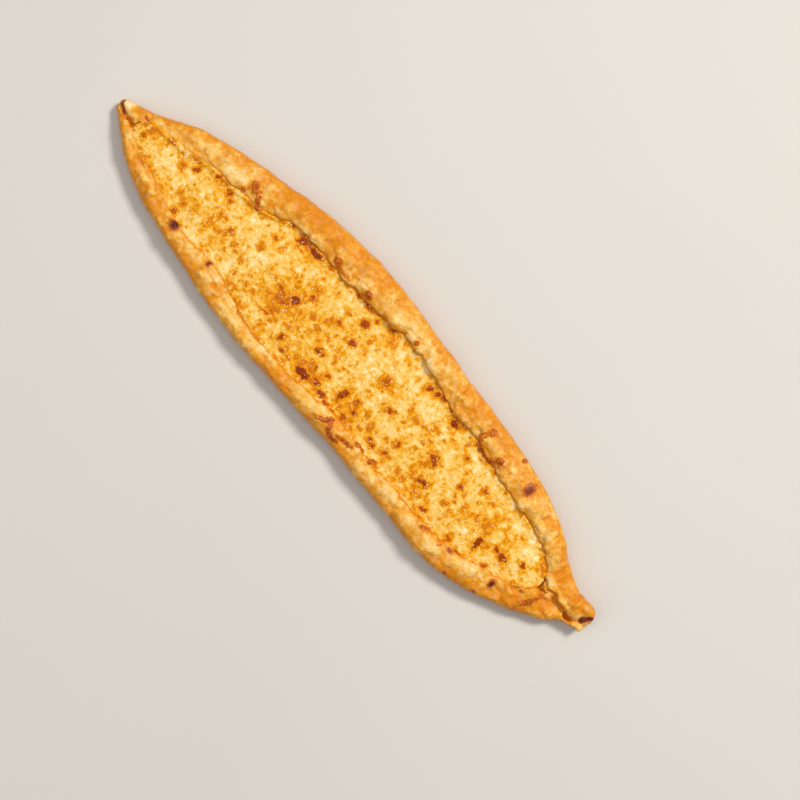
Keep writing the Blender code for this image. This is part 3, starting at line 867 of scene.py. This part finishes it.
class PIDE_OT_melt_cheese(bpy.types.Operator):
    """Shapes and toasts the melted cheese in the pocket"""

    bl_idname = "pide.melt_cheese"
    bl_label = "Melt Cheese"

    def execute(self, context):
        settings = context.scene.pide_cheese
        piece = copy_of_node("cheese_filling", "melted_cheese_filling")
        # The filling's flat facets are joined to quads, and only its top is cut finer
        bpy.ops.object.mode_set(mode="EDIT")
        bpy.ops.mesh.select_mode(type="FACE")
        bpy.ops.mesh.select_all(action="SELECT")
        bpy.ops.mesh.tris_convert_to_quads(face_threshold=0.9, shape_threshold=1.2)
        bpy.ops.mesh.select_all(action="DESELECT")
        bpy.ops.object.mode_set(mode="OBJECT")
        for face in piece.data.polygons:
            face.select = face.normal.z > 0.5
        bpy.ops.object.mode_set(mode="EDIT")
        bpy.ops.mesh.subdivide(number_cuts=settings.grain, smoothness=0.0)
        bpy.ops.object.mode_set(mode="OBJECT")
        points, normals = places(piece), facings(piece)
        plan = read_plan()
        on_wide, _, inward = across_rims(points, plan)
        top = ease(0.3, 0.8, normals[:, 2]) * ease(-3.4, -1.6, inward)
        flat = points * np.array([1.0, 1.0, 0.0])
        warped = flat + 1.1 * np.column_stack(
            [waves(flat, 2.8, 91), waves(flat, 2.8, 92), np.zeros(len(flat))])
        height = settings.bubbles / MM
        large, large_id = cells(warped, 7.0, 3)
        middle, middle_id = cells(warped, 3.8, 8)
        small, small_id = cells(flat, 2.0, 21)
        rise = 0.8 * waves(flat, 21.0, 2) + 0.6 * waves(flat, 9.0, 6)
        rise += 1.7 * (0.4 - large) * (0.2 + large_id) + 1.5 * (0.4 - middle) * (0.2 + middle_id)
        rise += 0.6 * (0.4 - small) * (0.3 + small_id) + 0.12 * waves(flat, 1.3, 77)
        rise *= 0.65 * height
        toasting = np.zeros(len(points))
        for i, (x, y, half_x, half_y, dark) in enumerate(CHEESE_SPOTS):
            away = spot_distance(warped, x, y, half_x, half_y, 200 + i)
            toasting = np.maximum(toasting, (0.36 + 0.5 * dark) * ease(1.6, 0.6, away))
            toasting = np.maximum(toasting, 0.6 * ease(2.4, 1.2, away))
            rise += 0.6 * dark * np.exp(-((away / 0.85) ** 2))
        # The cheese climbs a little where it meets the lips
        climb = np.where(on_wide, 1.3 + 0.9 * ease(-80, -100, points[:, 0]), 0.7)
        climb *= np.exp(-((inward / 2.4) ** 2))
        points[:, 2] += (rise + 0.9 + climb) * top
        move_to(piece, points)
        broad = rough_waves(flat, 34.0, 13, 2)
        gilding = 0.405 + 0.06 * broad + 0.06 * rough_waves(flat, 14.0, 31, 2)
        # The pools include one painted shadow by the curled tip
        gilding += pools_at(flat, CHEESE_POOLS, 600)
        # Scattered shreds that turned golden on their own, and paler ones
        lively = 1 + 0.5 * broad
        gilding += 0.18 * lively * ease(0.55, 0.95, large_id) * ease(0.6, 0.15, large)
        gilding += 0.20 * lively * ease(0.6, 0.95, middle_id) * ease(0.6, 0.15, middle)
        gilding -= 0.12 * ease(0.35, 0.1, middle_id) * ease(0.6, 0.2, middle)
        fringe = np.exp(-(((inward - 0.6) / 1.8) ** 2)) * ease(-0.5, 0.6, waves(flat, 8.0, 43))
        gilding += np.where(on_wide, 0.2, 0.12) * fringe
        # A few of the smallest ones went brown
        specks = 0.62 * ease(0.86, 0.95, small_id) * ease(0.6, 0.2, small) * ease(-0.2, 0.5, broad)
        toasting = np.maximum(toasting, specks)
        keep_values(piece, "gilding", gilding)
        keep_values(piece, "toasting", toasting)
        finish_piece(piece, cheese_material(settings), "cheese_filling")
        return {"FINISHED"}


class PIDE_OT_spill_cheese(bpy.types.Operator):
    """Lays burnt spills of cheese on the rims"""

    bl_idname = "pide.spill_cheese"
    bl_label = "Spill Cheese"

    def execute(self, context):
        chance = np.random.default_rng(SPILL_SEED)
        ground = tree_of(bpy.data.objects["baked_bread"])
        filling = tree_of(bpy.data.objects["melted_cheese_filling"])
        drops = []
        for x, y, half_x, half_y, _ in BURNT_SPILLS:
            drops.append((x, y, SPILL_SPREAD * half_x, SPILL_SPREAD * half_y))
            for _ in range(SPILL_CRUMBS):
                turn = chance.uniform(0, math.tau)
                size = chance.uniform(*CRUMB_SIZES)
                drops.append((x + half_x * math.cos(turn), y + half_y * math.sin(turn),
                              half_x * size, half_y * size))
        piece, ball = many_balls("burnt_cheese_spills", len(drops), 16, 8)
        blobs = []
        for x, y, half_x, half_y in drops:
            blob = ball * np.array([half_x, half_y, 1.0]) + np.array([x, y, 0.0])
            for p in blob:
                top = max(height_under(ground, p[0], p[1], 0.0),
                          height_under(filling, p[0], p[1], 0.0))
                p[2] = top + SPILL_HEIGHT * p[2]
            blobs.append(blob)
        move_to(piece, np.concatenate(blobs))
        apply(piece, "REMESH", "merge", mode="VOXEL", voxel_size=SPILL_GRAIN)
        apply(piece, "SMOOTH", "relax", factor=0.5, iterations=4)
        points, normals = places(piece), facings(piece)
        bumps = 0.28 * waves(points, 1.4, 340) + 0.12 * waves(points, 0.8, 341)
        move_to(piece, points + normals * bumps[:, None])
        crusting = np.zeros(len(points))
        for x, y, half_x, half_y, dark in BURNT_SPILLS:
            away = np.hypot((points[:, 0] - x) / half_x, (points[:, 1] - y) / half_y)
            crusting = np.maximum(crusting, 0.72 * dark * ease(2.4, 0.6, away))
        keep_values(piece, "toasting", crusting + 0.5 * bumps)
        finish_piece(piece, spill_material())
        return {"FINISHED"}


class PIDE_OT_bead_fat(bpy.types.Operator):
    """Scatters small drops of butterfat over the cheese"""

    bl_idname = "pide.bead_fat"
    bl_label = "Bead Fat"

    def execute(self, context):
        settings = context.scene.pide_cheese
        chance = np.random.default_rng(FAT_SEED)
        filling = tree_of(bpy.data.objects["melted_cheese_filling"])
        bread = tree_of(bpy.data.objects["baked_bread"])
        piece, ball = many_balls("butterfat_drops", settings.beads, 8, 5)
        low, high = [np.array(c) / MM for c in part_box("cheese_filling")]
        drops = []
        while len(drops) < settings.beads:
            x, y = chance.uniform(low[:2], high[:2])
            radius = chance.uniform(*DROP_ROOTS) ** 2
            stretch = chance.uniform(*DROP_STRETCH)
            top = height_under(filling, x, y, -9.0)
            if top < height_under(bread, x, y, -9.0) + 0.3:
                continue
            drop = ball * np.array([radius * stretch, radius / stretch, radius * DROP_FLATNESS])
            drops.append(drop + np.array([x, y, top + 0.1 * radius]))
        move_to(piece, np.concatenate(drops))
        finish_piece(piece, fat_glint_material())
        return {"FINISHED"}


class PIDE_OT_set_stage(bpy.types.Operator):
    """Sets the floor, the soft lights and the camera"""

    bl_idname = "pide.set_stage"
    bl_label = "Set Stage"

    def execute(self, context):
        settings = context.scene.pide_stage
        deselect_all()
        bpy.ops.mesh.primitive_plane_add(size=settings.floor_size, location=(0, 0, FLOOR_LEVEL))
        floor = context.active_object
        floor.name = "floor"
        material, tree, shader = new_material("pale_floor")
        place = node(tree, "ShaderNodeTexCoord").outputs["Object"]
        cloud = node(tree, "ShaderNodeTexNoise", {"Vector": place},
                     {"Scale": 1 / (330.0 * MM), "W": 1.0}, noise_dimensions="4D").outputs["Fac"]
        tone = node(tree, "ShaderNodeMix", {"Factor": cloud},
                    {6: hex_colour("#d6d4d0"), 7: hex_colour("#dbd9d5")},
                    data_type="RGBA").outputs[2]
        tree.links.new(tone, shader.inputs["Base Color"])
        shader.inputs["Roughness"].default_value = 0.9
        floor.data.materials.append(material)
        turn = settings.view_turn
        right = Vector((math.cos(turn), math.sin(turn), 0))
        up = Vector((-math.sin(turn), math.cos(turn), 0))
        centre = Vector(VIEW_MIDDLE)
        for name, aside, above, height, size, power, tint in LIGHTS:
            place = centre + right * aside + up * above + Vector((0, 0, height))
            bpy.ops.object.light_add(type="AREA", location=place)
            light = context.active_object
            light.name = name
            light.data.size = size
            light.data.energy = power
            light.data.color = plain_hex(tint)
            light.rotation_euler = (centre - light.location).to_track_quat("-Z", "Y").to_euler()
        world = bpy.data.worlds.new("soft_room")
        context.scene.world = world
        world.use_nodes = True
        background = world.node_tree.nodes["Background"]
        background.inputs["Color"].default_value = hex_colour(ROOM_LIGHT[0])
        background.inputs["Strength"].default_value = ROOM_LIGHT[1]
        distance = settings.view_height - centre.z
        bpy.ops.object.camera_add(
            location=(centre.x, centre.y, settings.view_height), rotation=(0, 0, turn))
        camera = context.active_object
        camera.name = "overhead_camera"
        camera.data.sensor_width = SENSOR
        camera.data.lens = SENSOR * distance / settings.view_width
        camera.data.clip_start = 0.05
        camera.data.dof.use_dof = False
        context.scene.camera = camera
        context.scene.view_settings.view_transform = "Standard"
        return {"FINISHED"}


class PIDE_PT_panel(bpy.types.Panel):
    """Lists the steps that make the pide, with their sizes and colours"""

    bl_idname = "PIDE_PT_panel"
    bl_label = "Cheese Pide"
    bl_space_type = "VIEW_3D"
    bl_region_type = "UI"
    bl_category = "Pide"

    def draw(self, context):
        groups = (
            (context.scene.pide_dough, ("grain", "lumps", "baking", "pale", "golden")),
            (context.scene.pide_cheese, ("grain", "bubbles", "beads", "pale", "golden")),
            (context.scene.pide_stage, ("floor_size", "view_width", "view_height", "view_turn")),
        )
        for group, names in groups:
            box = self.layout.box()
            for name in names:
                box.prop(group, name)
        for step in STEPS:
            self.layout.operator(step.bl_idname)


STEPS = (
    PIDE_OT_bake_bread, PIDE_OT_melt_cheese, PIDE_OT_spill_cheese, PIDE_OT_bead_fat,
    PIDE_OT_set_stage,
)
GROUPS = (("pide_dough", PideDough), ("pide_cheese", PideCheese), ("pide_stage", PideStage))


def register():
    for _, group in GROUPS:
        bpy.utils.register_class(group)
    for step in STEPS:
        bpy.utils.register_class(step)
    bpy.utils.register_class(PIDE_PT_panel)
    for name, group in GROUPS:
        setattr(bpy.types.Scene, name, bpy.props.PointerProperty(type=group))


def unregister():
    for name, _ in GROUPS:
        delattr(bpy.types.Scene, name)
    bpy.utils.unregister_class(PIDE_PT_panel)
    for step in reversed(STEPS):
        bpy.utils.unregister_class(step)
    for _, group in reversed(GROUPS):
        bpy.utils.unregister_class(group)


def main():
    register()
    bpy.ops.pide.bake_bread()
    bpy.ops.pide.melt_cheese()
    bpy.ops.pide.spill_cheese()
    bpy.ops.pide.bead_fat()
    bpy.ops.pide.set_stage()


if __name__ == "__main__":
    main()
